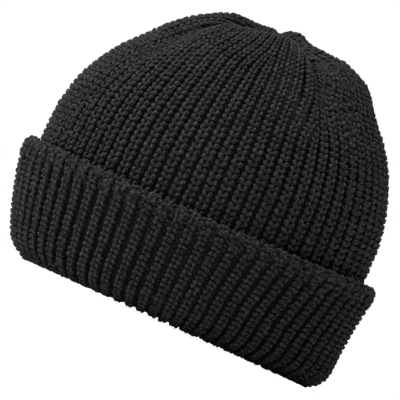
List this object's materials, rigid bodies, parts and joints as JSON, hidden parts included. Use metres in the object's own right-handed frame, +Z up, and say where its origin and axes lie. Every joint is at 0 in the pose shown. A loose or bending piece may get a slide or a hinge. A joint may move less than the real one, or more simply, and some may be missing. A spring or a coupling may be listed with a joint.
{
  "type": "cuffed beanie",
  "caption": "Rib-knit cuffed beanie standing on its rim: ribbed crown gathered at the top between darts, with a deep turned-up cuff.",
  "frame": {"origin": "on the surface that the rim stands on, at the middle of the box around the beanie", "axes": "+Z up through the crown, -X the forehead, +X the nape, -Y the left side of the head"},
  "size_m": [0.2222, 0.1784, 0.1844],
  "materials": {
    "crown_knit": "matte ribbed knit in plied wool blend yarn",
    "cuff_knit": "matte ribbed knit in plied wool blend yarn, reverse side out"
  },
  "bodies": {
    "root": {"crown": "crown_knit", "cuff": "cuff_knit"}
  },
  "joints": []
}
